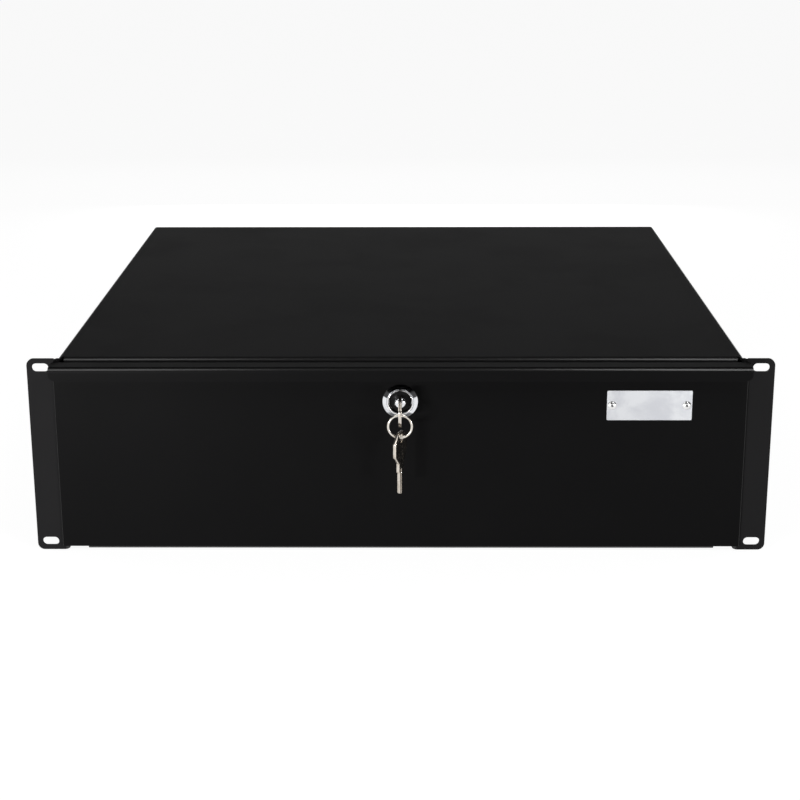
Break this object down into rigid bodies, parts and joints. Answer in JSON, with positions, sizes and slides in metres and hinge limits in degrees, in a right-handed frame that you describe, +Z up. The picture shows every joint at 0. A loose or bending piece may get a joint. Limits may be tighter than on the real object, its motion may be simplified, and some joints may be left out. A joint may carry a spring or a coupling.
{
  "type": "sliding rack drawer",
  "caption": "Lockable sliding drawer for a 19 inch equipment rack, three rack units high, with ball-bearing slides, grip lip, cam lock, keys on a ring and a bare nameplate.",
  "frame": {"origin": "centre of the four slots in the rack ears, on the ears' rear face, which is the face that meets the rack posts", "axes": "+X to the right as seen from the front, -Y towards the front, the way the drawer opens, +Z up"},
  "size_m": [0.4826, 0.4378, 0.1324],
  "materials": {
    "housing_powder_coat": "satin black powder coat, fine texture",
    "drawer_powder_coat": "satin black powder coat, fine texture",
    "black_fasteners": "black zinc, satin",
    "zinc_fasteners": "bright zinc plate",
    "zinc_slide": "bright zinc plate, rolled, lightly greased",
    "cage_steel": "thin stamped steel strip",
    "bearing_balls": "polished bearing steel",
    "bumper_rubber": "soft black rubber",
    "lever_plastic": "moulded black plastic",
    "nameplate_aluminium": "brushed along its length, bare",
    "nameplate_rivets": "bright domed heads",
    "lock_chrome": "polished chrome plate on zinc die casting",
    "lock_black": "black",
    "cam_steel": "stamped zinc-plated steel",
    "key_nickel": "nickel plate over brass, slightly warm, handled",
    "ring_nickel": "polished nickel plate"
  },
  "bodies": {
    "housing": {"housing_shell": "housing_powder_coat", "rear_panel": "housing_powder_coat", "rear_panel_rivets": "black_fasteners", "lock_strike": "housing_powder_coat", "housing_slide_screws": "black_fasteners", "slide_bumpers": "bumper_rubber", "outer_member_right": "zinc_slide", "outer_member_left": "zinc_slide"},
    "drawer": {"drawer_front": "drawer_powder_coat", "drawer_tray": "drawer_powder_coat", "tray_back_wall": "drawer_powder_coat", "tray_rivets": "black_fasteners", "floor_rivets": "black_fasteners", "tray_slide_screws": "zinc_fasteners", "panel_studs": "zinc_fasteners", "panel_nuts": "zinc_fasteners", "nameplate": "nameplate_aluminium", "nameplate_rivets": "nameplate_rivets", "lock_barrel": "lock_chrome", "lock_nut": "zinc_fasteners", "inner_member_right": "zinc_slide", "inner_member_left": "zinc_slide", "lever_pivots": "zinc_fasteners"},
    "intermediate_right": {"intermediate_member_right": "zinc_slide"},
    "outer_cage_right": {"outer_ball_cage_right": "cage_steel", "outer_balls_right": "bearing_balls"},
    "inner_cage_right": {"inner_ball_cage_right": "cage_steel", "inner_balls_right": "bearing_balls"},
    "intermediate_left": {"intermediate_member_left": "zinc_slide"},
    "outer_cage_left": {"outer_ball_cage_left": "cage_steel", "outer_balls_left": "bearing_balls"},
    "inner_cage_left": {"inner_ball_cage_left": "cage_steel", "inner_balls_left": "bearing_balls"},
    "lever_right": {"release_lever_right": "lever_plastic"},
    "lever_left": {"release_lever_left": "lever_plastic"},
    "lock_plug": {"lock_plug": "lock_chrome", "plug_collar": "lock_black", "lock_cam": "cam_steel", "cam_screw": "zinc_fasteners"},
    "key": {"key": "key_nickel"},
    "key_ring": {"key_ring": "ring_nickel"},
    "spare_key": {"spare_key": "key_nickel"}
  },
  "joints": [
    {"name": "drawer_slide", "type": "slide", "parent": "housing", "child": "drawer", "axis": [0, -1, 0], "range_m": [0, 0.35]},
    {"name": "intermediate_right_slide", "type": "slide", "parent": "housing", "child": "intermediate_right", "axis": [0, -1, 0], "range_m": [0, 0.175]},
    {"name": "outer_cage_right_slide", "type": "slide", "parent": "housing", "child": "outer_cage_right", "axis": [0, -1, 0], "range_m": [0, 0.0875]},
    {"name": "inner_cage_right_slide", "type": "slide", "parent": "housing", "child": "inner_cage_right", "axis": [0, -1, 0], "range_m": [0, 0.2625]},
    {"name": "intermediate_left_slide", "type": "slide", "parent": "housing", "child": "intermediate_left", "axis": [0, -1, 0], "range_m": [0, 0.175]},
    {"name": "outer_cage_left_slide", "type": "slide", "parent": "housing", "child": "outer_cage_left", "axis": [0, -1, 0], "range_m": [0, 0.0875]},
    {"name": "inner_cage_left_slide", "type": "slide", "parent": "housing", "child": "inner_cage_left", "axis": [0, -1, 0], "range_m": [0, 0.2625]},
    {"name": "lever_right_press", "type": "hinge", "parent": "drawer", "child": "lever_right", "pos_m": [0.21115, 0.176, -0.01625], "axis": [1, 0, 0], "range_deg": [-8, 0], "stiffness_Nm_per_rad": 0.1},
    {"name": "lever_left_press", "type": "hinge", "parent": "drawer", "child": "lever_left", "pos_m": [-0.21115, 0.176, -0.01625], "axis": [1, 0, 0], "range_deg": [0, 8], "stiffness_Nm_per_rad": 0.1},
    {"name": "lock_turn", "type": "hinge", "parent": "drawer", "child": "lock_plug", "pos_m": [0, 0.0158, 0.03815], "axis": [0, 1, 0], "range_deg": [0, 90]},
    {"name": "key_pull", "type": "slide", "parent": "lock_plug", "child": "key", "axis": [0, -1, 0], "range_m": [0, 0.0175]},
    {"name": "key_ring_hang", "type": "hinge", "parent": "key", "child": "key_ring", "pos_m": [0, -0.0306, 0.03795], "axis": [0, 1, 0], "range_deg": [-45, 0]},
    {"name": "spare_key_hang", "type": "hinge", "parent": "key_ring", "child": "spare_key", "pos_m": [0, -0.0306, 0.02295], "axis": [0, 1, 0], "range_deg": [-40, 0]}
  ],
  "couplings": [
    {"joint": "intermediate_right_slide", "follows": "drawer_slide", "ratio": 0.5},
    {"joint": "outer_cage_right_slide", "follows": "drawer_slide", "ratio": 0.25},
    {"joint": "inner_cage_right_slide", "follows": "drawer_slide", "ratio": 0.75},
    {"joint": "intermediate_left_slide", "follows": "drawer_slide", "ratio": 0.5},
    {"joint": "outer_cage_left_slide", "follows": "drawer_slide", "ratio": 0.25},
    {"joint": "inner_cage_left_slide", "follows": "drawer_slide", "ratio": 0.75},
    {"joint": "key_ring_hang", "follows": "lock_turn", "ratio": -0.5},
    {"joint": "spare_key_hang", "follows": "lock_turn", "ratio": -0.42}
  ]
}
